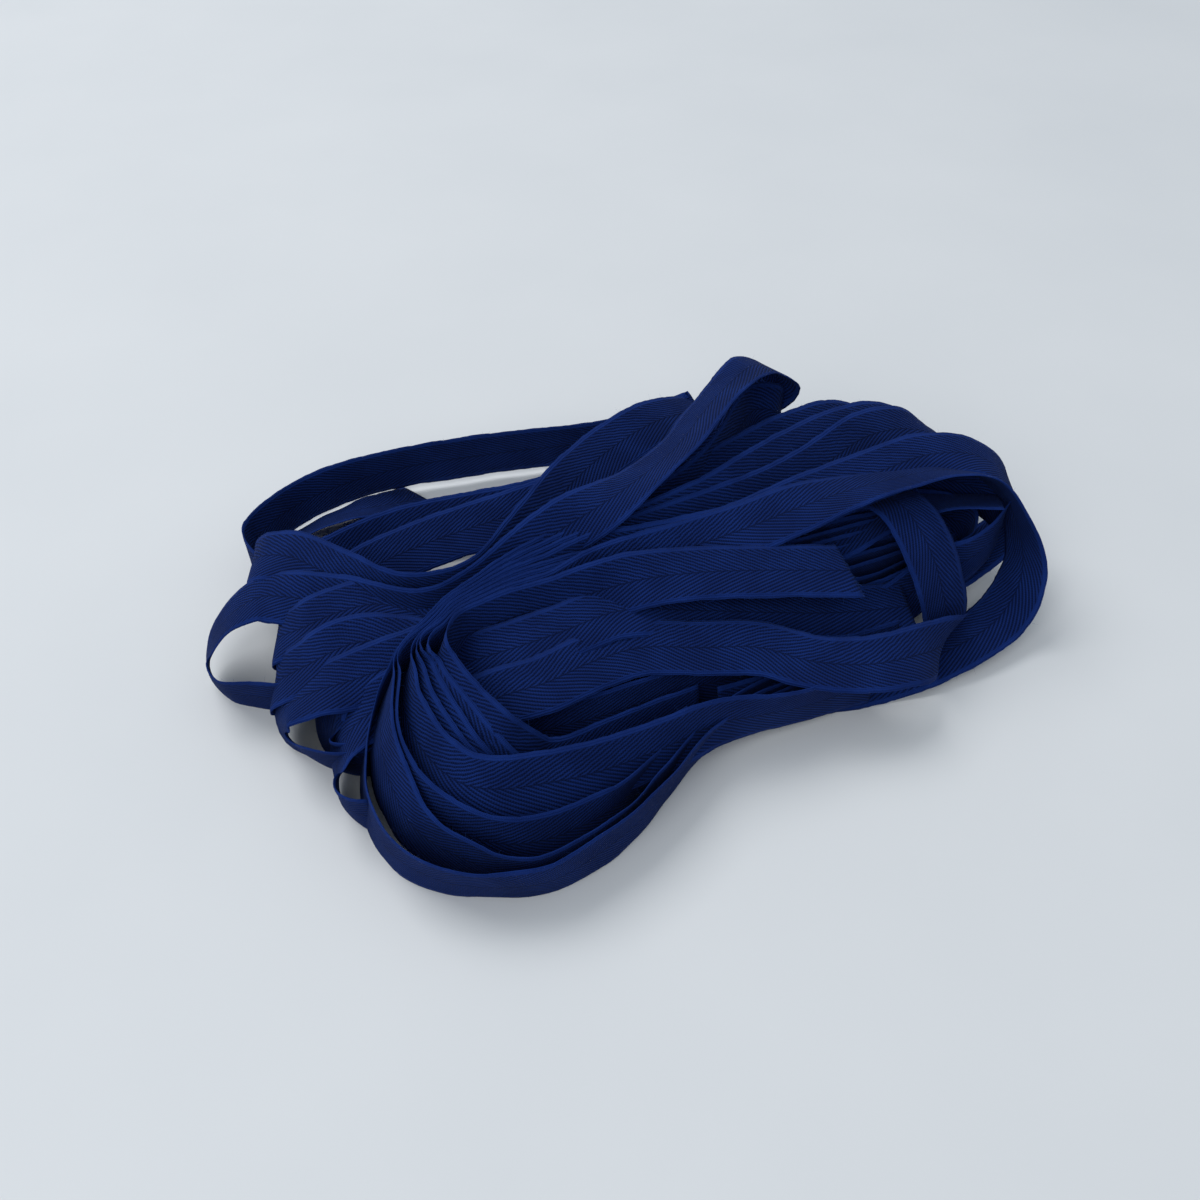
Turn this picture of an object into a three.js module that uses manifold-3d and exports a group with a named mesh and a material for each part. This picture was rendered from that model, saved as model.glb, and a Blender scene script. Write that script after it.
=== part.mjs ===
// A loose hank of herringbone twill tape, pinched at its waist, with one cut end lying on top.
// Millimetres, +Z up. The hank rests on z = 0 and is centred on the Z axis.
import * as THREE from "three";
import { mergeVertices } from "three/addons/utils/BufferGeometryUtils.js";
import Module from "manifold-3d";

const wasm = await Module();
wasm.setup();

// Driving sizes
const TAPE_WIDTH = 19;
const TURN_THICKNESS = 1.6; // a turn of the hank with the air that it traps
const END_THICKNESS = 1.2; // the loose end, a single layer of tape
const CUT_SKEW = 6.5; // how far the cut runs along the tape from one edge to the other
const GAP = 0.3; // clearance between the loose end and the hank
const STEP = 11; // length of tape between two cross-sections
const SMOOTH = "centripetal";
const FLOOR_CUT = 400; // side of the block that trims the underside level
const CENTRE = [2, 1]; // the middle of the hank in the tables' plan

// Each turn is a short table of stations along the middle of the tape.
// aim is the way the tape's width points in plan, in degrees from +X towards +Y,
// and tip is the rise of the width above level, so 90 is a tape that stands on its edge.
const COLUMNS = ["x", "y", "z", "aim", "tip"];

const TURNS = {
  // Arch at the back left, through the waist to the fold at the upper left
  arch_to_left_fold: [
    [-36, 54, 7, 140, 60], [-20, 70, 9, 140, 60], [-3, 86, 12, 140, 60], [16, 97, 18, 140, 40],
    [32, 95, 28, 140, 15], [14, 77, 37, 140, 20], [-2, 62, 37, 140, 28], [-16, 44, 36, 140, 36],
    [-30, 21, 34, 140, 58], [-48, -1, 31, 140, 85], [-70, -6, 29, 100, 75], [-91, 1, 31, 90, 45],
    [-109, 11, 31, 90, 20], [-120, 15, 27, 90, 8], [-124, 18, 20, 90, 0], [-117, 19, 13, 90, 0],
    [-93, 16, 10, 90, 0], [-70, 6, 9, 90, 0],
  ],
  // Highest loop at the back, through the waist to the small loop at the far left
  peak_to_left_loop: [
    [-10, 44, 12, 140, 40], [10, 58, 18, 140, 40], [30, 72, 26, 140, 30], [50, 80, 36, 140, 20],
    [60, 84, 47, 140, 8], [48, 81, 58, 138, -5], [37, 66, 60, 136, -22], [28, 52, 59, 134, -27],
    [19, 37, 57, 134, -27], [9, 27, 54, 136, -20], [-3, 17, 51, 140, 0], [-20, 8, 45, 140, 40],
    [-45, -5, 33, 140, 85], [-63, -12, 28, 100, 78], [-89, -7, 27, 95, 45], [-106, -4, 27, 100, 22],
    [-117, -2, 25, 108, 4], [-126, -6, 21, 118, -18], [-131, -13, 17, 124, -36], [-132, -21, 12, 118, -50],
    [-126, -28, 9.5, 100, -68], [-117, -30, 9.5, 90, -76], [-103, -31, 9.5, 90, -78],
    [-84, -28, 9.5, 90, -82], [-62, -18, 9.5, 90, -85],
  ],
  // Narrow inner arch, through the waist to the outermost loop at the front
  inner_arch_to_front: [
    [28, 44, 10, 140, 50], [44, 58, 14, 140, 55], [56, 70, 22, 140, 60], [60, 77, 32, 140, 60],
    [56, 77, 41, 140, 62], [48, 74, 44, 140, 66], [42, 64, 44, 140, 70], [36, 52, 43, 140, 75],
    [26, 37, 41, 140, 75], [9, 20, 38, 140, 75], [-10, 9, 36, 140, 75], [-29, 2, 34, 140, 80],
    [-43, -5, 32, 140, 85], [-56, -18, 29, 0, 80], [-67, -30, 25, 0, 72], [-75, -41, 20, 0, 72],
    [-77, -55, 14, 0, 76], [-74, -75, 11, 20, 82], [-65, -89, 10, 45, 90], [-51, -97, 9.5, 70, 98],
    [-36, -99, 9.5, 90, 104], [-21, -97, 9.5, 100, 100], [-8, -89, 10, 110, 92],
    [4, -78, 10, 110, 96], [14, -65, 10, 110, 102], [26, -49, 10, 110, 104],
    [42, -38, 10, 100, 102], [58, -30, 10, 95, 95], [80, -18, 10, 90, 85],
  ],
  // Turns that go over the right shoulder and come forward round the front
  shoulder_to_front_low: [
    [70, 38, 6, 140, 10], [95, 52, 6, 140, 10], [118, 70, 12, 140, 15], [123, 78, 22, 140, 20],
    [113, 75, 32, 140, 15], [98, 72, 40, 140, 20], [80, 62, 44, 140, 32], [61, 48, 45, 140, 42],
    [46, 36, 45, 140, 48], [31, 25, 43, 140, 50], [9, 13, 39, 140, 65], [-16, 1, 35, 140, 75],
    [-41, -8, 31, 140, 85], [-56, -24, 28, 10, 80], [-65, -40, 25, 10, 65], [-70, -54, 19, 15, 60],
    [-69, -70, 12, 30, 62], [-60, -83, 9.5, 60, 70], [-44, -87, 9.5, 90, 75], [-26, -83, 9.5, 90, 78],
  ],
  shoulder_to_front_mid: [
    [80, 38, 5, 140, 10], [104, 50, 5, 140, 10], [124, 66, 10, 140, 15], [126, 75, 22, 140, 20],
    [115, 73, 33, 140, 15], [100, 68, 40, 140, 30], [85, 59, 43, 140, 38], [68, 44, 42, 140, 43],
    [53, 33, 41, 140, 48], [32, 22, 40, 140, 53], [9, 10, 38, 140, 60], [-16, -2, 35, 140, 70],
    [-38, -12, 31, 140, 80], [-51, -29, 29, 20, 75], [-59, -47, 26, 20, 60], [-62, -61, 21, 30, 55],
    [-54, -77, 15, 50, 52], [-38, -86, 12, 80, 55], [-22, -86, 11, 95, 60], [-10, -80, 11, 110, 70],
    [-1, -69, 11, 120, 75], [10, -56, 11, 110, 75],
  ],
  // Right end rolled under, over the top and round the broad loop at the front
  right_roll_to_front_top: [
    [80, 16, 7, 90, 10], [105, 24, 8, 90, 10], [120, 31, 10, 90, 10], [134, 38, 20, 90, 10],
    [133, 43, 37, 90, 0], [120, 45, 46, 90, 5], [104, 43, 48, 95, 15], [82, 34, 46, 100, 22],
    [58, 22, 44, 105, 32], [35, 11, 41, 115, 40], [9, 3, 38, 130, 52], [-16, -5, 35, 140, 68],
    [-36, -14, 31, 140, 80], [-49, -32, 29, 30, 70], [-54, -50, 28, 40, 55], [-50, -63, 26, 65, 45],
    [-38, -73, 24, 85, 45], [-23, -73, 22, 92, 48], [-7, -68, 20, 95, 55], [10, -59, 19, 100, 65],
    [29, -48, 18, 98, 78], [43, -43, 16, 95, 92], [56, -38, 14, 92, 98], [80, -26, 11, 90, 90],
  ],
  // The big loop round the right end
  right_loop: [
    [-7, -8, 36, 140, 60], [18, 4, 40, 110, 32], [41, 11, 44, 100, 22], [57, 17, 47, 95, 16],
    [74, 23, 49, 95, -8], [91, 28, 50, 92, -20], [108, 33, 48, 90, -30], [123, 33, 43, 92, -40],
    [133, 27, 31, 105, -28], [135, 18, 19, 115, -8], [127, 9, 10, 125, 4], [109, -3, 6, 122, 8],
    [84, -17, 6, 100, 35], [56, -28, 9, 90, 60], [30, -38, 10, 90, 70],
  ],
  // Tight turns fanned out in front of the waist
  fan_inner: [
    [-16, -8, 32, 140, 75], [-35, -10, 31, 140, 75], [-50, -22, 30, 60, 70], [-53, -35, 29, 35, 60],
    [-47, -48, 28, 60, 50], [-35, -56, 25, 70, 40], [-22, -54, 16, 90, 40], [-6, -46, 8, 90, 45],
  ],
  fan_middle: [
    [-15, -6, 33, 140, 75], [-38, -11, 31, 140, 80], [-54, -27, 30, 40, 70], [-57, -42, 28, 30, 60],
    [-50, -56, 27, 60, 50], [-37, -63, 23, 75, 45], [-22, -58, 15, 90, 45], [-3, -49, 8, 90, 50],
  ],
  fan_outer: [
    [-10, -4, 33, 140, 75], [-40, -11, 31, 140, 80], [-56, -27, 30, 30, 75], [-60, -43, 28, 25, 62],
    [-54, -57, 27, 55, 50], [-42, -66, 23, 75, 46], [-27, -63, 16, 90, 45], [-7, -54, 10, 90, 50],
  ],
  // Turns that pass under the fan and roll over at the left
  middle_to_left_roll: [
    [95, 2, 17, 90, 16], [71, -5, 21, 90, 16], [48, -9, 25, 90, 16], [25, -11, 28, 90, 16],
    [-1, -15, 32, 90, 16], [-19, -24, 32, 95, 18], [-36, -30, 30, 100, 20], [-51, -32, 27, 100, 20],
    [-67, -24, 27, 90, 20], [-83, -25, 28, 90, 22], [-96, -31, 25, 90, 22], [-108, -31, 16, 90, 10],
    [-104, -22, 6, 90, 0], [-85, -17, 5, 90, 0], [-66, -10, 5, 90, 0],
  ],
  front_to_right_drop: [
    [-50, -50, 22, 120, 25], [-37, -45, 26, 110, 20], [-23, -41, 28, 105, 18], [-10, -33, 28, 100, 18],
    [5, -26, 27, 95, 18], [24, -25, 26, 90, 18], [42, -25, 26, 88, 15], [59, -30, 25, 90, 15],
    [76, -30, 24, 90, 18], [90, -26, 22, 85, 15], [103, -13, 17, 60, 10], [103, -3, 20, 40, 0],
    [99, 3, 30, 40, 0], [96, 9, 40, 40, 0], [90, 19, 44, 60, 0], [74, 19, 42, 90, 0],
  ],
  low_left_loop: [
    [-56, -27, 28, 100, 30], [-68, -32, 27, 110, 30], [-81, -37, 25, 115, 25],
    [-94, -41, 23, 125, -5], [-103, -43, 17, 130, -36], [-103, -47, 11, 122, -53],
    [-98, -51, 9, 95, -60], [-91, -55, 9.3, 85, -70], [-80, -57, 9.5, 85, -75], [-52, -49, 9.5, 90, -85],
  ],
  low_front_loop: [
    [-58, -35, 22, 110, 45], [-72, -44, 21.5, 115, 22], [-81, -52, 19, 125, -8], [-84, -57, 15, 130, -38],
    [-84, -64, 10, 120, -62], [-80, -72, 9, 95, -70], [-70, -76, 9.5, 85, -78], [-55, -74, 9.5, 90, -82],
    [-40, -68, 9.5, 90, -85],
  ],
  // Loose loops behind, standing on their edges
  back_loop: [
    [60, 84, 18, 90, 80], [39, 94, 16, 90, 80], [13, 101, 13, 90, 85], [-15, 96, 11, 90, 90],
    [-38, 92, 10, 90, 90], [-61, 87, 10, 90, 90], [-83, 81, 10, 90, 90], [-105, 72, 10, 90, 88],
    [-122, 58, 10, 120, 85], [-131, 40, 10, 150, 80], [-125, 24, 10, 90, 80], [-106, 14, 10, 90, 85],
    [-82, 10, 10, 90, 85], [-62, 4, 10, 90, 85],
  ],
  back_strand: [
    [-116, 47, 8, 90, -24], [-106, 54, 9, 90, -24], [-95, 60, 10, 90, -18], [-84, 69, 11, 90, 20],
    [-75, 80, 10, 90, 70], [-60, 88, 10, 90, 88],
  ],
  middle_strand: [
    [-98, 36, 9, 90, 50], [-79, 46, 10, 90, 50], [-58, 51, 12, 90, 50], [-36, 55, 14, 90, 50],
    [-14, 62, 16, 90, 50], [12, 74, 18, 90, 60], [38, 86, 18, 90, 60],
  ],
  near_strand: [
    [-100, 17, 10, 90, 30], [-87, 27, 12, 90, 30], [-70, 35, 14, 90, 30], [-53, 42, 16, 90, 30],
    [-32, 50, 18, 95, 35], [-7, 61, 20, 100, 40], [19, 76, 22, 105, 50],
  ],
  // Strands seen in the hollows at the right
  under_front: [
    [-7, -42, 14, 90, 80], [18, -32, 14, 90, 80], [44, -23, 13, 90, 80], [70, -19, 12, 90, 80],
    [97, -7, 11, 85, 78], [114, 8, 12, 70, 70], [124, 24, 16, 100, 60],
  ],
  right_drop: [
    [82, -5, 9, 150, 20], [87, 2, 16, 150, 20], [93, 8, 26, 150, 20], [99, 14, 36, 150, 20],
    [104, 24, 42, 150, 10],
  ],
  back_shoulder: [
    [62, 42, 6, 140, 10], [80, 54, 7, 140, 10], [100, 70, 13, 140, 10], [105, 78, 24, 140, 10],
    [96, 77, 34, 140, 10], [80, 71, 41, 140, 25], [60, 59, 43, 140, 38], [41, 46, 42, 140, 43],
    [19, 30, 40, 140, 50], [-4, 14, 37, 140, 60], [-26, 0, 33, 140, 75],
  ],
  right_under: [
    [127, 31, 38, 100, -25], [108, 33, 36, 100, -22], [91, 30, 34, 100, -10], [72, 20, 32, 100, 5],
    [50, 8, 31, 95, 15],
  ],
};

// The top turn, from its cut end to the roll at the left, and how much of it lies loose
const TOP_TURN = [
  [72, -2, 37, 90, 16], [49, -4, 39, 90, 16], [24, -4, 39, 90, 16], [6, -4, 38, 90, 16],
  [-13, -10, 37, 95, 18], [-32, -16, 34, 100, 20], [-47, -19, 30, 100, 22], [-62, -14, 29, 90, 20],
  [-77, -10, 30, 90, 20], [-90, -13, 29, 90, 22], [-101, -17, 26, 90, 20], [-110, -15, 19, 90, 10],
  [-106, -9, 9, 90, 0], [-87, -7, 7, 90, 0],
];
const LOOSE_LENGTH = 84;

// The packed turns inside the hank: half-round sections along it, each with a flat underside
const HEART_COLUMNS = ["x", "y", "half", "height"];
const HEART = [
  [-92, -8, 8, 16], [-72, -12, 13, 24], [-50, -14, 16, 30], [-20, 2, 22, 34],
  [15, 14, 26, 36], [50, 28, 26, 38], [84, 40, 22, 36], [104, 42, 10, 24],
];
const HEART_SIDES = 10;

const named = (columns, row) => Object.fromEntries(columns.map((name, i) => [name, row[i]]));

const solidOf = (geometry) => {
  for (const extra of ["normal", "uv"]) geometry.deleteAttribute(extra);
  const merged = mergeVertices(geometry, 1e-4);
  return new wasm.Manifold(new wasm.Mesh({
    numProp: 3,
    vertProperties: new Float32Array(merged.attributes.position.array),
    triVerts: new Uint32Array(merged.index.array),
  }));
};

const geometryOf = (solid) => {
  const mesh = solid.getMesh();
  const geometry = new THREE.BufferGeometry();
  geometry.setAttribute("position", new THREE.BufferAttribute(mesh.vertProperties, 3));
  geometry.setIndex(new THREE.BufferAttribute(mesh.triVerts, 1));
  return geometry;
};

// Joins rings of like points into one closed skin with flat ends. The second half of the sides is
// split along the other diagonal, so the two broad faces of a twisted tape stay parallel.
const loft = (rings) => {
  const sides = rings[0].length;
  const index = [];
  for (let r = 0; r < rings.length - 1; r++) {
    for (let i = 0; i < sides; i++) {
      const a = r * sides + i;
      const b = r * sides + ((i + 1) % sides);
      if (i < sides / 2) {
        index.push(a, b, b + sides, a, b + sides, a + sides);
      } else {
        index.push(a, b, a + sides, b, b + sides, a + sides);
      }
    }
  }
  const last = (rings.length - 1) * sides;
  for (let i = 1; i < sides - 1; i++) {
    index.push(0, i + 1, i, last, last + i, last + i + 1);
  }
  const geometry = new THREE.BufferGeometry().setFromPoints(rings.flat());
  geometry.setIndex(index);
  return geometry;
};

const widthWay = ({ aim, tip }) => {
  const [a, t] = [THREE.MathUtils.degToRad(aim), THREE.MathUtils.degToRad(tip)];
  return new THREE.Vector3(Math.cos(t) * Math.cos(a), Math.cos(t) * Math.sin(a), Math.sin(t));
};

// The tape's frame at even steps from one distance along a turn to another
const framesOf = (rows, from = 0, to = Infinity) => {
  const stations = rows.map((row) => named(COLUMNS, row));
  const middle = new THREE.CatmullRomCurve3(
    stations.map(({ x, y, z }) => new THREE.Vector3(x, y, z)), false, SMOOTH,
  );
  middle.arcLengthDivisions = 40 * rows.length;
  const ways = new THREE.CatmullRomCurve3(stations.map(widthWay), false, "catmullrom", 0.5);
  const length = middle.getLength();
  const end = Math.min(to, length);
  const count = Math.max(2, Math.ceil((end - from) / STEP));
  return Array.from({ length: count + 1 }, (_, i) => {
    const share = Math.min(1, (from + ((end - from) * i) / count) / length);
    const at = middle.getPointAt(share);
    const along = middle.getTangentAt(share);
    const across = ways.getPoint(middle.getUtoTmapping(share));
    across.addScaledVector(along, -across.dot(along)).normalize();
    const face = new THREE.Vector3().crossVectors(along, across);
    return { at, along, across, face };
  });
};

// skew slants the first end of the tape, as scissors leave it
const tapeBody = (frames, width, thickness, skew = 0) => {
  const corners = [[-1, -1], [1, -1], [1, 1], [-1, 1]];
  return solidOf(loft(frames.map(({ at, along, across, face }, i) => corners.map(([w, t]) => at.clone()
    .addScaledVector(across, (w * width) / 2)
    .addScaledVector(face, (t * thickness) / 2)
    .addScaledVector(along, i === 0 ? (w * skew) / 2 : 0)))));
};

const heartBody = () => {
  const sections = HEART.map((row) => named(HEART_COLUMNS, row));
  return solidOf(loft(sections.map(({ x, y, half, height }) => {
    const arch = Array.from({ length: HEART_SIDES + 1 }, (_, i) => {
      const turn = (Math.PI * i) / HEART_SIDES;
      return new THREE.Vector3(x, y + half * Math.cos(turn), height * Math.sin(turn));
    });
    return arch;
  })));
};

const largestBody = (solid) => solid.decompose()
  .reduce((best, body) => (body.volume() > best.volume() ? body : best));

const aboveFloor = (solid) => {
  const block = new THREE.BoxGeometry(FLOOR_CUT, FLOOR_CUT, FLOOR_CUT);
  block.translate(0, 0, FLOOR_CUT / 2);
  return solid.intersect(solidOf(block));
};

const looseBody = () => tapeBody(
  framesOf(TOP_TURN, 0, LOOSE_LENGTH), TAPE_WIDTH, END_THICKNESS, CUT_SKEW,
);

const roomForLoose = () => tapeBody(
  framesOf(TOP_TURN, 0, LOOSE_LENGTH + GAP), TAPE_WIDTH + 2 * GAP, END_THICKNESS + 2 * GAP, CUT_SKEW,
);

const hankBody = () => {
  let hank = heartBody();
  for (const rows of Object.values(TURNS)) {
    hank = hank.add(tapeBody(framesOf(rows), TAPE_WIDTH, TURN_THICKNESS));
  }
  hank = hank.add(tapeBody(framesOf(TOP_TURN, LOOSE_LENGTH - STEP), TAPE_WIDTH, TURN_THICKNESS));
  return largestBody(aboveFloor(hank.subtract(roomForLoose())));
};

const navyCotton = new THREE.MeshStandardMaterial({ color: 0x1c3468, roughness: 0.95, metalness: 0 });
const cutEndCotton = new THREE.MeshStandardMaterial({ color: 0x203a70, roughness: 0.95, metalness: 0 });

const part = new THREE.Group();
part.position.set(-CENTRE[0], -CENTRE[1], 0);

const addPiece = (name, solid, material) => {
  const piece = new THREE.Mesh(geometryOf(solid), material);
  piece.name = name;
  part.add(piece);
};

addPiece("hank", hankBody(), navyCotton);
addPiece("loose_end", looseBody(), cutEndCotton);

export default part;
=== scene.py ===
import math

import bpy
import numpy as np
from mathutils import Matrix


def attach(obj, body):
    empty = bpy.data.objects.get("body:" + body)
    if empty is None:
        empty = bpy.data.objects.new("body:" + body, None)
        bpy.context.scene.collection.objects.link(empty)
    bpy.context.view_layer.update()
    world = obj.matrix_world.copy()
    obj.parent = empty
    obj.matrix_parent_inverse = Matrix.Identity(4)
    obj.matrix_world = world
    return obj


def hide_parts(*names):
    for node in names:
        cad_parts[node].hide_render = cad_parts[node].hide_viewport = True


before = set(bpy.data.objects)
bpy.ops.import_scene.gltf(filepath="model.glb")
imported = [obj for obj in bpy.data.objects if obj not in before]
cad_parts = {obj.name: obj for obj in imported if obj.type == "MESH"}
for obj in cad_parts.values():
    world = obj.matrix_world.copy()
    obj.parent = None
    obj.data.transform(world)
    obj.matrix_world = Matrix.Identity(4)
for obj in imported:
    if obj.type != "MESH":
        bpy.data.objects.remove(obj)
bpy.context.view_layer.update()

# Camera: it looks down at 45 degrees, straight in front of the hank and a little to its left.
# The picture is square and its focal length is one picture width.
EYE = (-0.009, -0.2783, 0.2993)
LOOK_DOWN = 45
SENSOR = 36
FOCAL_LENGTH = 36.06
camera = bpy.data.objects.new("camera", bpy.data.cameras.new("camera"))
camera.data.sensor_width = SENSOR
camera.data.lens = FOCAL_LENGTH
camera.location = EYE
camera.rotation_euler = (math.radians(90 - LOOK_DOWN), 0, 0)
bpy.context.collection.objects.link(camera)
bpy.context.scene.camera = camera


# Table and light: a matt, nearly white table under two large soft lamps, both to the left of the
# hank, one behind it and one in front. A bright sky fills in the shade.
class Value:
    """A socket of a material that can be used in sums."""

    def __init__(self, tree, socket=None):
        self.tree = tree
        self.socket = socket

    def node(self, kind, settings=None, values=None, output=0):
        """One of a new node's outputs. Its settings are made before its sockets get values."""
        made = self.tree.nodes.new(kind)
        for name, setting in (settings or {}).items():
            setattr(made, name, setting)
        for place, value in (values or {}).items():
            if isinstance(value, Value):
                self.tree.links.new(value.socket, made.inputs[place])
            else:
                made.inputs[place].default_value = value
        return Value(self.tree, made.outputs[output])

    def sum(self, operation, *terms):
        return self.node("ShaderNodeMath", {"operation": operation}, dict(enumerate(terms)))

    def mix(self, low, high):
        """The colour low where this value is 0 and high where it is 1."""
        return self.node("ShaderNodeMix", {"data_type": "RGBA"}, {0: self, 6: low, 7: high}, 2)

    def __add__(self, other):
        return self.sum("ADD", self, other)

    def __sub__(self, other):
        return self.sum("SUBTRACT", self, other)

    def __rsub__(self, other):
        return self.sum("SUBTRACT", other, self)

    def __mul__(self, other):
        return self.sum("MULTIPLY", self, other)

    def __truediv__(self, other):
        return self.sum("DIVIDE", self, other)

    __radd__ = __add__
    __rmul__ = __mul__

    def cosine(self):
        """From 0 to 1 and back, once for each whole number."""
        return self.sum("COSINE", self * (2 * math.pi)) * 0.5 + 0.5

    def above(self, start, end):
        """0 below start and 1 above end, with a smooth step between them."""
        return self.node("ShaderNodeMapRange", {"interpolation_type": "SMOOTHSTEP"},
                         {0: self, 1: start, 2: end})


def new_material(name):
    material = bpy.data.materials.new(name)
    material.use_nodes = True
    return material, Value(material.node_tree), material.node_tree.nodes["Principled BSDF"].inputs


def link(value, socket):
    value.tree.links.new(value.socket, socket)


TABLE_SIZE = 3.0
TABLE_TONES = (0.60, 0.615, 0.63, 1), (0.66, 0.67, 0.68, 1)
OBJECT_PLACE = 3  # the output of Texture Coordinate that gives Object coordinates
table_paint, paint, surface = new_material("table paint")
place = paint.node("ShaderNodeTexCoord", output=OBJECT_PLACE)
cloud = paint.node("ShaderNodeTexNoise", None, {"Vector": place, "Scale": 9.0, "Detail": 4.0})
link(cloud.mix(*TABLE_TONES), surface["Base Color"])
surface["Roughness"].default_value = 0.75
table = bpy.data.meshes.new("table")
half = TABLE_SIZE / 2
table.from_pydata([(-half, -half, 0), (half, -half, 0), (half, half, 0), (-half, half, 0)], [],
                  [(0, 1, 2, 3)])
table.materials.append(table_paint)
table = bpy.data.objects.new("table", table)
bpy.context.collection.objects.link(table)

LAMPS = [  # name, place, size, watts
    ("window", (-1.3, 1.1, 2.3), 1.8, 42),
    ("room", (-0.9, -1.9, 2.0), 2.0, 34),
]
for name, place, size, watts in LAMPS:
    lamp = bpy.data.lights.new(name, "AREA")
    lamp.size = size
    lamp.energy = watts
    lamp = bpy.data.objects.new(name, lamp)
    lamp.location = place
    way = np.array(place) / np.linalg.norm(place)
    lamp.rotation_euler = (math.acos(way[2]), 0, math.atan2(way[0], -way[1]))
    bpy.context.collection.objects.link(lamp)
SKY_COLOUR = (0.80, 0.90, 1.0, 1)
SKY_STRENGTH = 0.52
sky = bpy.data.worlds.new("sky")
sky.use_nodes = True
sky.node_tree.nodes["Background"].inputs["Color"].default_value = SKY_COLOUR
sky.node_tree.nodes["Background"].inputs["Strength"].default_value = SKY_STRENGTH
bpy.context.scene.world = sky
bpy.context.scene.view_settings.view_transform = "Standard"


# The top turn: cotton tape woven in a herringbone, 19 mm wide. It runs from its cut end along the
# top of the hank to the waist, and turns down there into the fan of turns in front. All the
# tape of the hank is made as it is. Lengths are in millimetres until the mesh is made.
MM = 0.001
CENTRE = np.array([2, 1, 0])  # the part's origin, in the table's frame that the stations use
WAIST = np.array([-42, -16])  # where the turns are pinched together and lie still
STILL = 0.15, 50  # the share of bending left at the waist, and how far away all of it is back
WIDTH = 19
THICK = 0.7
EDGE_THICK = 0.24  # at the very edge
EDGE_CORD = 0.9, 0.09, 0.22  # the thicker edge: its place and its reach, as shares of half the
# width, and how much thicker it is
RING = 1.5  # length of tape between two rings of points
ACROSS = 11  # points across one face
FINE = 60  # steps between two stations when the length is measured
CUP = (0.25, 90), (0.12, 31)  # waves across the tape, each with its height and its length
CURL = (0.30, 60), (0.15, 23)  # waves that turn the two edges different ways
EDGE_LINE = (0.10, 14), (0.07, 4.3)  # waves of an edge in and out
CUT_RINGS = 5  # how many rings the slant of a cut end takes in
LOWEST = 0.05  # no point lies lower over the table

RIDGE_APART = 1.2  # between two ridges, measured across the tape
RIDGE_ALONG = 2.6  # and measured along it
FLOAT = 0.75  # length of one stitch of a ridge
EDGE_CORDS = 0.85  # between two cords of the plain edge
EDGE_WEFT = 0.55  # between two weft threads there
SELVEDGE = 7.9  # where the plain edge begins, from the middle
NAVY = (0.0042, 0.0165, 0.102, 1), (0.0062, 0.0240, 0.142, 1)
# Painted shade: the nearly black navy painted into the grooves of the weave, for the shade that falls in
# them.
SHADE_IN_GROOVE = (0.0004, 0.0020, 0.015, 1)
FIBRE_TIP = (0.013, 0.042, 0.180, 1)
SHEEN = (0.25, 0.40, 0.9, 1)
RELIEF = 0.00028  # depth of the weave, in metres


def tape_material():
    material, thread, surface = new_material("navy cotton tape")
    uv = thread.node("ShaderNodeUVMap", {"uv_map": "tape"})
    side = thread.node("ShaderNodeSeparateXYZ", None, {0: uv})
    along = thread.node("ShaderNodeSeparateXYZ", None, {0: uv}, 1)
    wander = thread.node("ShaderNodeTexNoise", None, {"Vector": uv, "Scale": 0.35, "Detail": 2.0})
    fibres = thread.node("ShaderNodeTexNoise", None, {"Vector": uv, "Scale": 3.2, "Detail": 3.0})
    blotch = thread.node("ShaderNodeTexNoise", None, {"Vector": uv, "Scale": 0.07, "Detail": 3.0})
    side = side + (wander - 0.5) * 0.35
    off = side.sum("ABSOLUTE", side)
    right = side.above(-0.05, 0.05)
    phase = off / RIDGE_APART - along / RIDGE_ALONG + right * 0.5 + (wander - 0.5) * 0.5
    ridge = phase.cosine()
    stitch = (off * 0.42 + along * 0.9) / FLOAT
    dots = (stitch + phase * 0.5).cosine()
    inner = 1 - off.above(SELVEDGE - 0.25, SELVEDGE + 0.25)
    middle = 1 - off.above(0.1, 0.35)
    cords = (off / EDGE_CORDS).cosine() * (1 - inner)
    weft = (along / EDGE_WEFT).cosine() * (1 - inner)
    groove = 1 - ridge.above(0.2, 0.8)
    # Painted shade: the grooves between ridges, the middle line where the herringbone turns and the gaps
    # between stitches are painted darker, for the shade that falls in them.
    groove_shade = groove * (0.6 + dots * 0.4) * inner
    groove_shade = groove_shade.sum("MAXIMUM", groove_shade, middle * 0.7)
    groove_shade = groove_shade.sum("MAXIMUM", groove_shade, (1 - dots) * inner * 0.35)
    tone = blotch.above(0.3, 0.7).mix(*NAVY)
    # The painted shade in the grooves is mixed over the navy here.
    tone = (groove_shade * 0.97).mix(tone, SHADE_IN_GROOVE)
    tone = (fibres.above(0.55, 0.85) * 0.35).mix(tone, FIBRE_TIP)
    link(tone, surface["Base Color"])
    woven = (ridge.above(0.05, 0.8) + dots * 0.2) * inner
    plain = cords * 0.8 + weft * 0.25
    height = woven + plain + fibres * 0.45 - middle * 0.4
    bump = thread.node("ShaderNodeBump", None,
                       {"Strength": 0.9, "Distance": RELIEF, "Height": height})
    link(bump, surface["Normal"])
    surface["Roughness"].default_value = 0.88
    surface["Specular IOR Level"].default_value = 0.06
    surface["Sheen Weight"].default_value = 0.04
    surface["Sheen Roughness"].default_value = 0.5
    surface["Sheen Tint"].default_value = SHEEN
    return material


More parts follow.
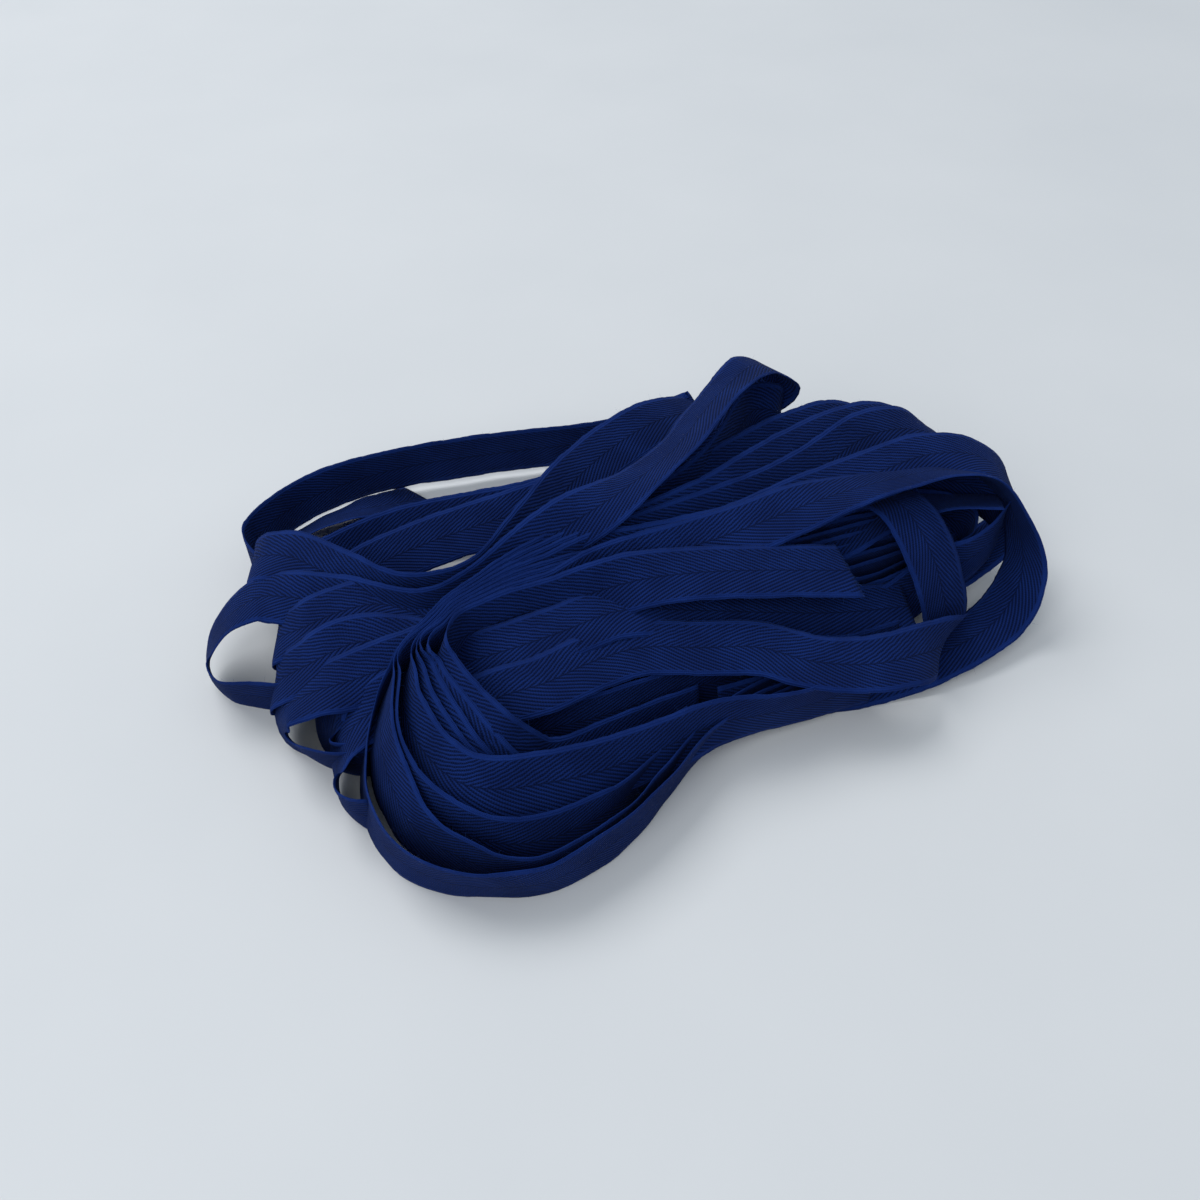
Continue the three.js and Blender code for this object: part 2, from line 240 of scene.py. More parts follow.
def through(stations, gaps, when):
    """Points at the times when on a Catmull-Rom curve through the stations."""
    rows = np.vstack([2 * stations[0] - stations[1], stations, 2 * stations[-1] - stations[-2]])
    span = np.clip(when.astype(int), 0, len(stations) - 2)
    u = (when - span)[:, None]
    p0, p1, p2, p3 = (rows[span + i] for i in range(4))
    g0, g1, g2 = (gaps[span + i][:, None] for i in range(3))
    leave = ((p1 - p0) / g0 - (p2 - p0) / (g0 + g1) + (p2 - p1) / g1) * g1
    reach = ((p2 - p1) / g1 - (p3 - p1) / (g1 + g2) + (p3 - p2) / g2) * g1
    return (p1 + leave * u + (3 * (p2 - p1) - 2 * leave - reach) * u ** 2
            + (2 * (p1 - p2) + leave + reach) * u ** 3)


def path_of(stations):
    """Where the tape's middle runs, the way along it and its width, at even steps.

    A station is the x, y and z of the middle, then the aim of the width, in degrees from +X
    towards +Y, and its tip, in degrees above level.
    """
    rows = np.array(stations, float)
    aim, tip = np.radians(rows[:, 3]), np.radians(rows[:, 4])
    ways = np.stack([np.cos(tip) * np.cos(aim), np.cos(tip) * np.sin(aim), np.sin(tip)], 1)
    line = rows[:, :3]
    gaps = np.sqrt(np.linalg.norm(np.diff(line, axis=0), axis=1))
    gaps = np.concatenate([gaps[:1], gaps, gaps[-1:]])
    when = np.linspace(0, len(rows) - 1, FINE * len(rows))
    run = np.linalg.norm(np.diff(through(line, gaps, when), axis=0), axis=1).cumsum()
    run = np.concatenate([[0], run])
    count = max(3, int(run[-1] / RING) + 1)
    when = np.interp(np.linspace(0, run[-1], count), run, when)
    middle = through(line, gaps, when)
    along = np.gradient(middle, axis=0)
    along /= np.linalg.norm(along, axis=1)[:, None]
    across = through(ways, np.ones(len(rows) + 1), when)
    across -= along * (across * along).sum(1)[:, None]
    across /= np.linalg.norm(across, axis=1)[:, None]
    return middle, along, across, run[-1]


def waves(run, random, parts):
    """A smooth random line. Each part is the height and the length of its waves."""
    total = np.zeros(len(run))
    for height, length in parts:
        for share in (0.7, 1, 1.45):
            turn = 2 * np.pi * (run / (length * share) + random.random())
            total += height * 0.6 * np.sin(turn)
    return total


edges = []  # a point and the way out, all along the edges of every tape


def tape_piece(name, stations, seed, node="hank", skew=0.0):
    """A length of tape along the stations. Returns where it starts, and its ways there."""
    random = np.random.default_rng(seed)
    middle, along, across, length = path_of(stations)
    for side in (-1, 1):
        edges.append(np.hstack([middle + across * side * WIDTH / 2, across * side]))
    face = np.cross(along, across)
    run = np.linspace(0, length, len(middle))
    place = np.linspace(-1, 1, ACROSS)
    cord, reach, more = EDGE_CORD
    thick = THICK / 2 * (1 + more * np.exp(-((np.abs(place) - cord) / reach) ** 2))
    thick[[0, -1]] = EDGE_THICK / 2
    over = [(place[i], thick[i]) for i in range(ACROSS)]
    under = [(place[i], -thick[i]) for i in range(ACROSS - 1, -1, -1)]
    ring = np.array(over + under)
    least, away = STILL
    calm = np.clip(np.linalg.norm(middle[:, :2] - WAIST, axis=1) / away, least, 1)
    cup = waves(run, random, CUP) * calm
    curl = waves(run, random, CURL) * calm
    left = waves(run, random, EDGE_LINE)
    right = waves(run, random, EDGE_LINE)
    points = []
    w, t = ring[:, 0], ring[:, 1]
    for i in range(len(middle)):
        wide = w * WIDTH / 2 + np.where(w < -cord, left[i], 0) + np.where(w > cord, right[i], 0)
        out = t + cup[i] * (w ** 2 - 0.33) + curl[i] * w ** 3 * 0.7
        push = w * skew / 2 * max(0.0, 1 - i / CUT_RINGS)
        points.append(middle[i] + np.outer(wide, across[i]) + np.outer(out, face[i])
                      + np.outer(push, along[i]))
    points = np.array(points)
    points[..., 2] = np.maximum(points[..., 2], LOWEST)
    sides = len(ring)
    flat = ((points.reshape(-1, 3) - CENTRE) * MM).tolist()
    faces, places = [], []
    for r in range(len(points) - 1):
        for s in range(sides):
            e = (s + 1) % sides
            faces.append((r * sides + s, r * sides + e, (r + 1) * sides + e, (r + 1) * sides + s))
            u = [ring[s, 0] * WIDTH / 2, ring[e, 0] * WIDTH / 2]
            places += [(u[0], run[r]), (u[1], run[r]), (u[1], run[r + 1]), (u[0], run[r + 1])]
    last = (len(points) - 1) * sides
    faces.append(tuple(range(sides - 1, -1, -1)))
    places += [(ring[s, 0] * WIDTH / 2, run[0]) for s in range(sides - 1, -1, -1)]
    faces.append(tuple(last + s for s in range(sides)))
    places += [(ring[s, 0] * WIDTH / 2, run[-1]) for s in range(sides)]
    mesh = bpy.data.meshes.new(name)
    mesh.from_pydata(flat, [], faces)
    layer = mesh.uv_layers.new(name="tape")
    layer.data.foreach_set("uv", np.array(places, np.float32).ravel())
    mesh.shade_smooth()
    mesh.materials.append(cotton)
    piece = bpy.data.objects.new(name, mesh)
    bpy.context.collection.objects.link(piece)
    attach(piece, "root")
    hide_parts(node)
    length * MM
    return middle[0], along[0], across[0]


cotton = tape_material()
TOP_TURN = [
    [72, -2, 37, 90, 16], [49, -4, 39, 90, 16], [24, -5, 39, 95, 20], [6, -7, 38, 105, 32],
    [-8, -10, 35.8, 122, 48], [-20.5, -14, 33.8, 130, 60], [-32.9, -17.4, 32.7, 128, 67],
    [-41.8, -21.4, 32, 125, 72], [-47.8, -24.7, 31.8, 110, 75], [-51.9, -30.5, 32.6, 70, 70],
    [-56.7, -40.1, 34.6, 25, 42], [-52.1, -49.2, 33.4, 40, 40], [-45.9, -55.7, 31.1, 50, 42],
    [-37.2, -63, 27.7, 60, 46], [-31.5, -64.1, 22.7, 70, 50], [-23.3, -62.8, 14.7, 80, 50],
    [-14, -57, 10, 85, 52], [-4, -50, 9, 90, 60], [8, -43, 9.3, 90, 72], [24, -35, 9.6, 90, 80],
]
CUT_SKEW = 6.5  # how far the cut slants, from one edge to the other
cut_middle, cut_along, cut_across = tape_piece(
    "top_turn", TOP_TURN, 1, "loose_end", CUT_SKEW)

# Arches behind the waist: turns of the same tape that rise at the back, lean over and come down
# through the waist, where they are pinched together and stand on their edges. Nothing ties them.
ARCHES = {
    "arch_to_left_fold": [
        [-36, 54, 7, 140, 60], [-20, 70, 9, 140, 60], [-3, 86, 12, 140, 60], [16, 97, 18, 140, 40],
        [32, 95, 28, 140, 15], [14, 77, 37, 140, 20], [-2, 62, 37, 140, 28], [-16, 44, 36, 140, 36],
        [-30, 21, 34, 140, 58], [-48, -1, 31, 140, 85], [-70, -6, 29, 100, 75], [-91, 1, 31, 90, 45],
        [-109, 11, 31, 90, 20], [-120, 15, 27, 90, 8], [-124, 18, 20, 90, 0], [-117, 19, 13, 90, 0],
        [-93, 16, 10, 90, 0], [-70, 6, 9, 90, 0],
    ],
    "peak_to_left_loop": [
        [-10, 44, 12, 140, 40], [10, 60, 18, 140, 40], [29, 77, 26, 140, 30], [46, 87, 36, 140, 20],
        [58, 89, 47, 140, 8], [48, 81, 58, 138, -5], [37, 66, 60, 136, -22], [28, 52, 59, 134, -27],
        [19, 37, 57, 134, -27], [9, 27, 54, 136, -20], [-3, 17, 51, 140, 0], [-20, 8, 45, 140, 40],
        [-45, -5, 33, 140, 85], [-63, -12, 28, 100, 78], [-89, -7, 27, 95, 45], [-106, -4, 27, 100, 22],
        [-117, -2, 25, 108, 4], [-126, -6, 21, 118, -18], [-131, -13, 17, 124, -36],
        [-132, -21, 12, 118, -50], [-126, -28, 9.5, 100, -68], [-117, -30, 9.5, 90, -76],
        [-103, -31, 9.5, 90, -78], [-84, -28, 9.5, 90, -82], [-62, -18, 9.5, 90, -85],
    ],
    "inner_arch_to_front": [
        [28, 44, 10, 140, 50], [44, 58, 14, 140, 55], [56, 70, 22, 140, 60], [60, 77, 32, 140, 60],
        [56, 77, 41, 140, 62], [48, 74, 44, 140, 66], [42, 64, 44, 140, 70], [36, 52, 43, 140, 75],
        [26, 37, 41, 140, 75], [9, 23, 38, 140, 72], [-8.7, 11.5, 37, 132, 70], [-22.3, 5.5, 35.8, 130, 76],
        [-34.7, -3.1, 35.2, 128, 80], [-43.1, -10.8, 34.7, 125, 82], [-53, -20.9, 34.1, 110, 82],
        [-59.6, -28.6, 32, 60, 80], [-67, -35.5, 27, 15, 77], [-73.6, -44.5, 20.6, 0, 75],
        [-77, -57, 13.6, 0, 76], [-74, -75, 11, 20, 82], [-65, -89, 10, 45, 90], [-51, -97, 9.5, 70, 98],
        [-36, -99, 9.5, 90, 104], [-21, -97, 9.5, 100, 100], [-8, -89, 10, 110, 92],
        [4, -78, 10, 110, 96], [14, -65, 10, 110, 102], [26, -49, 10, 110, 104],
        [42, -38, 10, 100, 102], [58, -30, 10, 95, 95], [80, -18, 10, 90, 85],
    ],
}
for seed, (name, stations) in enumerate(ARCHES.items(), 10):
    tape_piece(name, stations, seed)

# Turns over the right shoulder, of the same tape: they come up at the back right and run down to
# the waist, and three swing forward round the front. The big loop starts in front, goes through
# the waist and round the right end, and one short strand lies under it there.
SHOULDERS = {
    "shoulder_to_front_low": [
        [70, 38, 6, 140, 10], [95, 52, 6, 140, 10], [118, 70, 12, 140, 15], [123, 78, 22, 140, 20],
        [113, 75, 32, 140, 15], [98, 72, 40, 140, 20], [80, 62, 44, 140, 32], [61, 48, 45, 140, 42],
        [46, 36, 45, 140, 48], [31, 25, 43, 140, 50], [9, 16, 39, 140, 65], [-8.4, 9, 36.8, 132, 68],
        [-22, 2.6, 35.5, 130, 74], [-34.4, -5.2, 34.8, 128, 78], [-42.9, -12.4, 34.3, 125, 80],
        [-52.3, -21.5, 34.1, 110, 81], [-58, -28.8, 33.2, 70, 80],
        [-68.6, -40, 28.8, 18, 68], [-70.5, -51.2, 26.5, 20, 64],
        [-70.3, -59.2, 24.4, 24, 62], [-68.3, -67, 21.7, 32, 61], [-65.1, -74.3, 18.5, 42, 63],
        [-60.1, -82, 14.7, 40, 70], [-52.3, -87.6, 12.2, 40, 80], [-42.2, -92, 10.7, 60, 86],
        [-34.1, -94.6, 9.8, 92, 92], [-25, -95, 9.6, 100, 95], [-13, -89, 9.6, 105, 96],
        [0, -78, 9.6, 105, 98], [11, -64.5, 9.6, 105, 98], [24, -48, 9.6, 104, 98],
        [41, -36, 9.6, 100, 98], [57, -27.5, 9.6, 95, 94],
    ],
    "shoulder_to_front_mid": [
        [80, 38, 5, 140, 10], [104, 50, 5, 140, 10], [124, 66, 10, 140, 15], [126, 75, 22, 140, 20],
        [115, 73, 33, 140, 15], [100, 68, 40, 140, 30], [85, 59, 43, 140, 38], [68, 44, 42, 140, 43],
        [53, 33, 41, 140, 48], [32, 22, 40, 140, 53], [9, 13, 38, 140, 60], [-8.2, 6.5, 36.6, 132, 66],
        [-21.8, -0.2, 35.2, 130, 72], [-34.1, -7.3, 34.4, 128, 76], [-42.7, -13.8, 33.9, 125, 79],
        [-51.6, -22, 33.7, 110, 80], [-56.8, -29, 33.1, 70, 79],
        [-67.5, -39.1, 29.3, 22, 66], [-69, -51, 26.9, 22, 64],
        [-68.2, -61.2, 23.7, 28, 63], [-62.6, -73.2, 19.1, 45, 64], [-53.4, -80.6, 15.8, 62, 68],
        [-43, -85.3, 13.6, 78, 72], [-33.1, -86.8, 12.3, 90, 76], [-22.8, -85.2, 11.9, 98, 78],
        [-13, -80.8, 11.7, 105, 80], [-3, -73.5, 11, 108, 88], [8, -61, 10, 106, 96],
        [22, -45, 9.6, 104, 99], [39, -33, 9.6, 100, 98], [56, -24, 9.6, 95, 92],
    ],
    "right_roll_to_front_top": [
        [80, 16, 7, 90, 10], [105, 24, 8, 90, 10], [120, 31, 10, 90, 10], [134, 38, 20, 90, 10],
        [133, 43, 37, 90, 0], [120, 45, 46, 90, 5], [104, 43, 48, 95, 15], [82, 34, 46, 100, 22],
        [58, 22, 44, 105, 32], [35, 11, 41, 115, 40], [9, 6, 38, 130, 54], [-8, 4, 36.4, 132, 64],
        [-21.5, -3, 34.9, 130, 70], [-33.9, -9.3, 34.1, 128, 74], [-42.6, -15.3, 33.5, 125, 78],
        [-50.8, -22.6, 33.4, 110, 79], [-55.8, -29.2, 33, 70, 78],
        [-64.3, -39, 30.8, 25, 60], [-64.4, -49.9, 28.5, 30, 56],
        [-59.9, -60.7, 26.5, 42, 52], [-53.1, -69.4, 24.8, 55, 49], [-45.4, -74.7, 23.7, 68, 47],
        [-36, -76.1, 23.1, 82, 47], [-23.2, -73.5, 22.1, 92, 48], [-8.7, -68.6, 20.7, 95, 52],
        [10, -59, 19, 100, 65],
        [29, -48, 18, 98, 78], [43, -43, 16, 95, 92], [56, -38, 14, 92, 98], [80, -26, 11, 90, 90],
    ],
    "back_shoulder": [
        [62, 42, 6, 140, 10], [80, 54, 7, 140, 10], [100, 70, 13, 140, 10], [105, 78, 24, 140, 10],
        [96, 77, 34, 140, 10], [80, 71, 41, 140, 25], [60, 59, 43, 140, 38], [41, 46, 42, 140, 43],
        [19, 30, 40, 140, 50], [-4, 14, 37, 140, 60], [-26, 1, 28, 140, 75],
    ],
    "right_loop": [
        [20, -43, 9.6, 95, 84], [8, -52, 9.3, 90, 74], [-4, -60, 9, 85, 64],
        [-16, -67.5, 9.5, 80, 56], [-27.2, -71.5, 13.5, 75, 52],
        [-35.3, -70, 18.7, 62, 50], [-43.3, -64.2, 24.6, 55, 47], [-50.9, -55.7, 28.7, 48, 45],
        [-57.7, -47.6, 31.6, 38, 45], [-60.8, -39.1, 33.3, 25, 47], [-53, -30.2, 32.6, 70, 72],
        [-48.6, -24.2, 32.2, 110, 76], [-41.9, -20, 32.4, 125, 73], [-33.2, -15.4, 33, 128, 69],
        [-20.7, -11.3, 34.1, 130, 64], [-7, -2.8, 36, 132, 58], [18, 4, 40, 115, 36],
        [41, 11, 44, 100, 22], [57, 17, 47, 95, 16],
        [74, 23, 49, 95, -8], [91, 28, 50, 92, -20], [108, 34, 48.5, 90, -30], [124, 35, 43.5, 92, -40],
        [134, 28, 31, 105, -28], [136, 17, 19, 115, -8], [129, 6.5, 9, 128, 0], [111, -6, 5.5, 124, 4],
        [84, -18, 6, 100, 35], [56, -28, 9, 90, 60], [30, -38, 10, 90, 70],
    ],
    "right_under": [
        [127, 31, 38, 100, -25], [108, 33, 36, 100, -22], [91, 30, 34, 100, -10], [72, 20, 32, 100, 5],
        [50, 8, 31, 95, 15],
    ],
}
for seed, (name, stations) in enumerate(SHOULDERS.items(), 20):
    tape_piece(name, stations, seed)

# Turns in front and inside the right end, of the same tape: two in the fan before the waist, two
# below the top turn that run to the right, two loops inside the big one, and a short strip that
# drops over them. They lie on each other and nothing fixes them.
FRONT = {
    "fan_middle": [
        [12, 10, 29, 132, 60], [-7.2, -0.4, 31.5, 132, 60], [-21, -8.6, 34, 130, 66],
        [-33.4, -13.3, 33.3, 128, 71], [-42.2, -18.4, 32.7, 125, 75], [-49.3, -23.6, 32.6, 110, 77],
        [-54, -29.8, 32.7, 70, 74], [-62.4, -37.6, 32.6, 25, 51], [-60.1, -47.3, 30.4, 36, 48],
        [-54, -57.3, 27.4, 46, 47], [-47.4, -66.4, 23.3, 52, 48], [-42.1, -71, 19.3, 58, 50],
        [-35.4, -73.5, 13.5, 70, 52], [-24, -71.5, 9.5, 78, 56], [-10, -64.5, 8.5, 85, 64],
        [2, -56.5, 9.2, 90, 74], [15, -46.5, 9.6, 95, 84],
    ],
    "fan_outer": [
        [12, 12, 28, 132, 62], [-7.4, 2, 31, 132, 62], [-21.2, -5.8, 34, 130, 68],
        [-33.6, -11.4, 33.7, 128, 72], [-42.3, -16.9, 33.1, 125, 76], [-50.1, -23.1, 33, 110, 78],
        [-55, -29.6, 32.8, 70, 76], [-63.2, -38.6, 31.7, 25, 55], [-62.1, -49.2, 29.3, 33, 51],
        [-56.2, -60.1, 26, 44, 49], [-49.9, -68, 22.5, 50, 50], [-45.1, -72.3, 19.3, 56, 50],
        [-39.6, -75.1, 14.5, 66, 52], [-28, -75, 9.5, 76, 58], [-15, -70, 8.8, 85, 64],
        [-4, -62.5, 9.2, 90, 74], [9, -52, 9.6, 95, 84],
    ],
    "front_to_right_drop": [
        [-50, -50, 22, 120, 25], [-37, -45, 26, 110, 20], [-23, -41, 28, 105, 18], [-10, -33, 28, 100, 18],
        [5, -26, 27, 95, 18], [24, -25, 26, 90, 18], [42, -25, 26, 88, 15], [59, -30, 25, 90, 15],
        [76, -30, 24, 90, 18], [90, -25, 22, 85, 18], [100, -17, 17, 70, 20], [106, -8, 12, 55, 20],
        [108, 0, 8, 45, 12],
    ],
    "inner_right_loop": [
        [84, 42, 36, 90, 70], [100, 46, 36, 90, 80], [114, 46, 35, 92, 86], [126, 40, 33, 95, 88],
        [130, 33, 30, 100, 88], [126, 25, 27, 100, 88], [117, 18, 24, 100, 86], [107, 15, 21, 95, 80],
        [96, 9, 15, 90, 70], [82, 0, 11, 90, 65], [62, -9, 10, 90, 70],
    ],
    "innermost_right_loop": [
        [84, 34, 24, 90, 70], [98, 39, 25, 90, 75], [111, 39, 25, 92, 84], [119, 34, 24, 96, 88],
        [119, 27, 21, 100, 88], [113, 21, 18, 100, 86], [104, 17, 15, 95, 80], [90, 10, 12, 90, 76],
        [70, 2, 11, 90, 76],
    ],
    "under_front": [
        [-42, -52, 10, 90, 80], [-24, -46, 12, 90, 80], [-7, -42, 14, 90, 80], [18, -32, 14, 90, 80],
        [44, -23, 13, 90, 80], [70, -17, 12, 90, 80], [90, -8, 10, 85, 78],
    ],
    "right_drop": [
        [86, 32, 40, 30, 0], [92, 22, 43, 28, 0], [96.5, 14, 40, 26, 0], [101, 8, 33, 26, 0],
        [105, 4, 23, 28, 0], [108, 1.5, 12, 28, 0], [107, 1, 6, 28, 0],
    ],
}
for seed, (name, stations) in enumerate(FRONT.items(), 30):
    tape_piece(name, stations, seed)

# Small loops at the left and the lower left, of the same tape: turns that come out of the waist,
# or from the right below the top turn, roll over and go back in underneath.
LEFT = {
    "middle_to_left_roll": [
        [95, 2, 17, 90, 16], [71, -5, 21, 90, 16], [48, -9, 25, 90, 16], [25, -11, 28, 90, 16],
        [-1, -15, 32, 90, 16], [-19, -24, 32, 95, 18], [-36, -30, 30, 100, 20], [-51, -32, 27, 100, 20],
        [-67, -24, 27, 90, 20], [-83, -25, 28, 90, 22], [-96, -31, 25, 90, 22], [-108, -31, 16, 90, 10],
        [-104, -22, 6, 90, 0], [-85, -17, 5, 90, 0], [-66, -10, 5, 90, 0],
    ],
    "low_left_loop": [
        [-56, -27, 28, 100, 30], [-68, -32, 27, 110, 30], [-81, -37, 25, 115, 25],
        [-94, -41, 23, 125, -5], [-103, -43, 17, 130, -36], [-103, -47, 11, 122, -53],
        [-98, -51, 9, 95, -60], [-91, -55, 9.3, 85, -70], [-80, -57, 9.5, 85, -75],
        [-52, -49, 9.5, 90, -85],
    ],
    "low_inner_loop": [
        [-58, -28, 25, 100, 30], [-72, -31, 24, 110, 30], [-82, -34, 23, 125, 10],
        [-88, -39, 19, 135, -20], [-90, -45, 12, 140, -40], [-88, -51, 8.5, 120, -60],
        [-80, -53.5, 9, 95, -72], [-64, -52, 9.4, 90, -80], [-46, -46, 9.5, 90, -85],
    ],
    "low_front_loop": [
        [-58, -35, 22, 110, 45], [-72, -44, 21.5, 115, 22], [-81, -52, 19, 125, -8],
        [-84, -57, 15, 130, -38], [-84.5, -64, 10, 120, -62], [-82.5, -70, 9, 95, -72],
        [-78.5, -74, 9.3, 85, -80], [-72.5, -76, 9.4, 90, -87],
    ],
    "upper_left_roll": [
        [-20, -12, 24, 95, 30], [-36, -16, 26, 100, 25], [-49, -18, 28, 100, 22],
        [-62, -14, 29, 90, 20], [-77, -10, 30, 90, 20], [-90, -13, 29, 90, 22],
        [-101, -17, 26, 90, 20], [-110, -15, 19, 90, 10], [-106, -9, 9, 90, 0], [-87, -7, 7, 90, 0],
    ],
}
for seed, (name, stations) in enumerate(LEFT.items(), 40):
    tape_piece(name, stations, seed)

# Loose turns behind the hank, of the same tape: one long loop that stands on its edge on the
# table, and three strands in front of it that lean, between the left end and the arches.
BACK = {
    "back_loop": [
        [46, 64, 22, 110, 70], [62, 66, 22, 60, 75], [69, 73, 21, 20, 80], [64, 82, 19, 60, 80],
        [54, 88, 17, 90, 80], [39, 94, 16, 90, 80], [13, 101, 13, 90, 85], [-15, 96, 12, 90, 90],
        [-38, 92, 12, 90, 90], [-61, 87, 12, 90, 90], [-83, 81, 12, 90, 90], [-105, 72, 11, 90, 88],
        [-122, 58, 10.5, 120, 85], [-131, 40, 10, 150, 80], [-125, 24, 10, 90, 80],
        [-106, 14, 10, 90, 85], [-82, 10, 10, 90, 85], [-62, 4, 10, 90, 85],
    ],
    "back_strand": [
        [-116, 47, 8, 90, -24], [-106, 54, 9, 90, -24], [-95, 60, 9, 90, -20], [-86, 66, 6, 105, -10],
        [-80, 72, 3, 125, -3], [-76, 77, 1.2, 140, 0],
    ],
    "middle_strand": [
        [-112, 23, 6, 75, 30], [-98, 35, 8.5, 90, 45], [-79, 46, 10, 90, 50],
        [-58, 51, 12, 90, 50], [-36, 55, 14, 90, 50],
        [-14, 62, 16, 90, 50], [12, 74, 18, 90, 60], [38, 86, 18, 90, 60],
    ],
    "near_strand": [
        [-111, 6, 4, 80, 10], [-100, 17, 6.5, 90, 24], [-87, 27, 10.5, 90, 30],
        [-70, 35, 14, 90, 30], [-53, 42, 16, 90, 30],
        [-32, 50, 18, 95, 35], [-7, 61, 20, 100, 40], [19, 76, 22, 105, 50],
    ],
}
for seed, (name, stations) in enumerate(BACK.items(), 50):
    tape_piece(name, stations, seed)

# Turns packed inside the hank: tape that stands on its edge, turn beside turn, from the left end
# through the waist to the right end. Only their edges show between the turns on top.
PACKED = [  # x, y, half the width, height
    [-96, -10, 10, 18], [-76, -16, 18, 24], [-50, -24, 20, 28], [-20, -10, 28, 33],
    [15, 6, 30, 35], [50, 22, 31, 38], [84, 34, 26, 36], [104, 40, 14, 28], [116, 42, 8, 22],
]
PACKED_TURNS = 21
PACKED_REACH = 0.95  # the outermost lanes, as a share of half the width
LANE_LEAN = 22  # degrees that a turn at the side leans outwards
LEAN_CHANCE = 4  # and how much more or less it leans from place to place
LOW_MIDDLE = 9.8  # the lowest height of a turn's middle, with its edge on the table
BELOW_TOP = 10  # from the hank's height there down to the turn's middle
random = np.random.default_rng(7)
for lane, share in enumerate(np.linspace(-PACKED_REACH, PACKED_REACH, PACKED_TURNS)):
    stations = []
    for x, y, half, height in PACKED:
        high = height * math.sqrt(1 - share ** 2)
        lean = 90 - share * LANE_LEAN + random.uniform(-LEAN_CHANCE, LEAN_CHANCE)
        stations.append([x, y + share * half, max(LOW_MIDDLE, high - BELOW_TOP), 90, lean])
    tape_piece(f"packed_turn_{lane}", stations, 60 + lane)

# Stray fibres: cotton hairs that stand off the tape's two edges, and the raw ends of its threads
# at the cut. Each is one thin bent thread, and Geometry Nodes sets them on points of the edges.
HAIRS = 6000
HAIR = (0.020, 1.1)  # radius and length
THREADS = 70
THREAD = (0.075, 0.9)
BEND = 9  # how far a thread's end leans over, in radii
TAPER = 0.5  # how much thinner it is there


def bent_thread():
    """A thread of radius 1 and length 1 that bends to one side."""
    rings = np.linspace(0, 1, 4)
    corners = np.radians([0, 120, 240])
    points = [(math.cos(c) * (1 - TAPER * t) + BEND * t * t, math.sin(c) * (1 - TAPER * t), t)
              for t in rings for c in corners]
    faces = [(3 * r + s, 3 * r + (s + 1) % 3, 3 * r + 3 + (s + 1) % 3, 3 * r + 3 + s)
             for r in range(3) for s in range(3)]
    faces += [(2, 1, 0), (9, 10, 11)]
    mesh = bpy.data.meshes.new("thread")
    mesh.from_pydata(points, [], faces)
    return bpy.data.objects.new("thread", mesh)


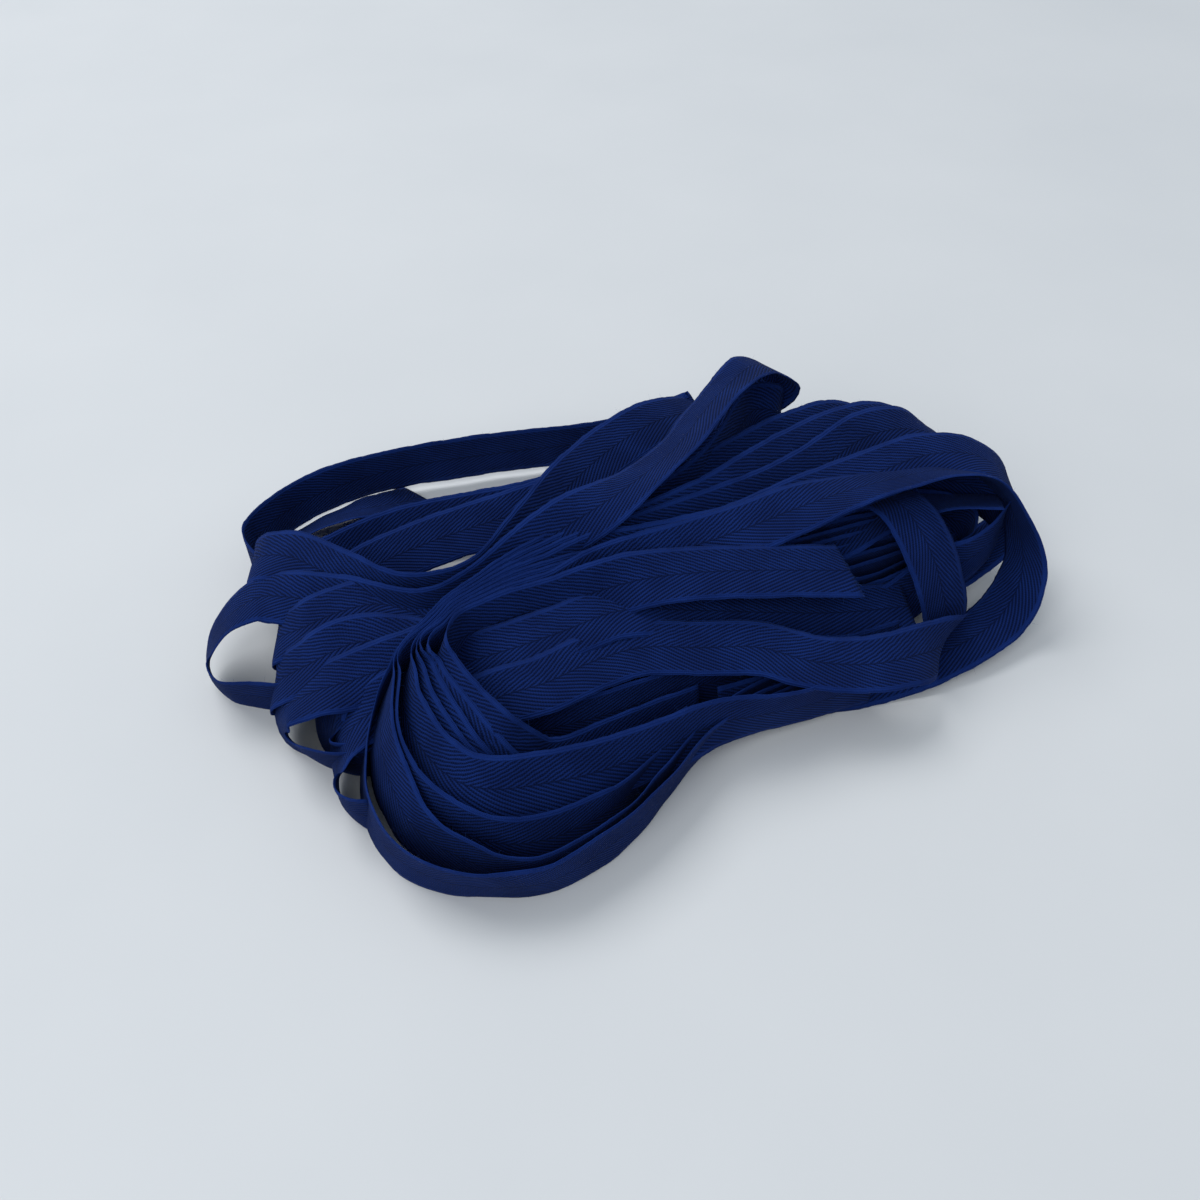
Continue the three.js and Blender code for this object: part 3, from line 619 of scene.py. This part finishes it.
def fibres_piece(name, places, ways, sizes, material):
    """One piece of many threads, each with its place, its way and its size on three axes."""
    mesh = bpy.data.meshes.new(name)
    mesh.from_pydata(((places - CENTRE) * MM).tolist(), [], [])
    for title, values in (("way", ways), ("size", sizes * MM)):
        data = mesh.attributes.new(title, "FLOAT_VECTOR", "POINT").data
        data.foreach_set("vector", np.array(values, np.float32).ravel())
    seeds = bpy.data.objects.new(name + " seeds", mesh)
    bpy.context.collection.objects.link(seeds)
    tree = bpy.data.node_groups.new(name, "GeometryNodeTree")
    tree.interface.new_socket("Geometry", in_out="INPUT", socket_type="NodeSocketGeometry")
    tree.interface.new_socket("Thread", in_out="INPUT", socket_type="NodeSocketObject")
    tree.interface.new_socket("Geometry", in_out="OUTPUT", socket_type="NodeSocketGeometry")
    given = Value(tree).node("NodeGroupInput")
    thread = Value(tree).node("NodeGroupInput", None, None, 1)
    shape = given.node("GeometryNodeObjectInfo", None, {"Object": thread}, "Geometry")
    vector = {"data_type": "FLOAT_VECTOR"}
    way = given.node("GeometryNodeInputNamedAttribute", vector, {"Name": "way"})
    size = given.node("GeometryNodeInputNamedAttribute", vector, {"Name": "size"})
    turned = given.node("FunctionNodeAlignRotationToVector", {"axis": "Z"}, {"Vector": way})
    points = given.node("GeometryNodeMeshToPoints", None, {"Mesh": given})
    many = given.node("GeometryNodeInstanceOnPoints", None,
                      {"Points": points, "Instance": shape, "Rotation": turned, "Scale": size})
    real = given.node("GeometryNodeRealizeInstances", None, {"Geometry": many})
    done = given.node("GeometryNodeSetMaterial", None, {"Geometry": real, "Material": material})
    tree.links.new(done.socket, tree.nodes.new("NodeGroupOutput").inputs[0])
    modifier = seeds.modifiers.new("threads", "NODES")
    modifier.node_group = tree
    modifier[tree.interface.items_tree["Thread"].identifier] = bent_thread()
    ready = seeds.evaluated_get(bpy.context.evaluated_depsgraph_get())
    mesh = bpy.data.meshes.new_from_object(ready)
    seeds.modifiers.remove(modifier)
    bpy.data.objects.remove(seeds)
    piece = bpy.data.objects.new(name, mesh)
    bpy.context.collection.objects.link(piece)
    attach(piece, "root")


lint, _, surface = new_material("cotton fibre")
surface["Base Color"].default_value = (0.020, 0.050, 0.190, 1)
surface["Roughness"].default_value = 0.9
surface["Specular IOR Level"].default_value = 0.1
random = np.random.default_rng(3)
edges = np.vstack(edges)
chosen = edges[random.choice(len(edges), HAIRS)]
ways = chosen[:, 3:] + random.normal(0, 0.5, (HAIRS, 3))
ways[:, 2] = np.where(chosen[:, 2] < 3, np.abs(ways[:, 2]), ways[:, 2])
long = HAIR[1] * np.clip(random.lognormal(-0.2, 0.5, HAIRS), 0.3, 2.5)
thin = np.full(HAIRS, HAIR[0])
places = chosen[:, :3] - chosen[:, 3:] * 0.25 + random.normal(0, 0.15, (HAIRS, 3))
places[:, 2] = np.maximum(places[:, 2], 0.15)
fibres_piece("edge_fibres", places, ways, np.stack([thin, thin, long], 1), lint)

share = np.linspace(-0.97, 0.97, THREADS)[:, None]
places = cut_middle + share * (cut_across * WIDTH / 2 + cut_along * CUT_SKEW / 2) + cut_along * 0.15
ways = random.normal(0, 0.28, (THREADS, 3)) - cut_along
long = THREAD[1] * np.clip(random.lognormal(-0.2, 0.4, THREADS), 0.4, 2.2)
thin = THREAD[0] * random.uniform(0.7, 1.1, THREADS)
fibres_piece("cut_threads", places, ways, np.stack([thin, thin, long], 1), lint)
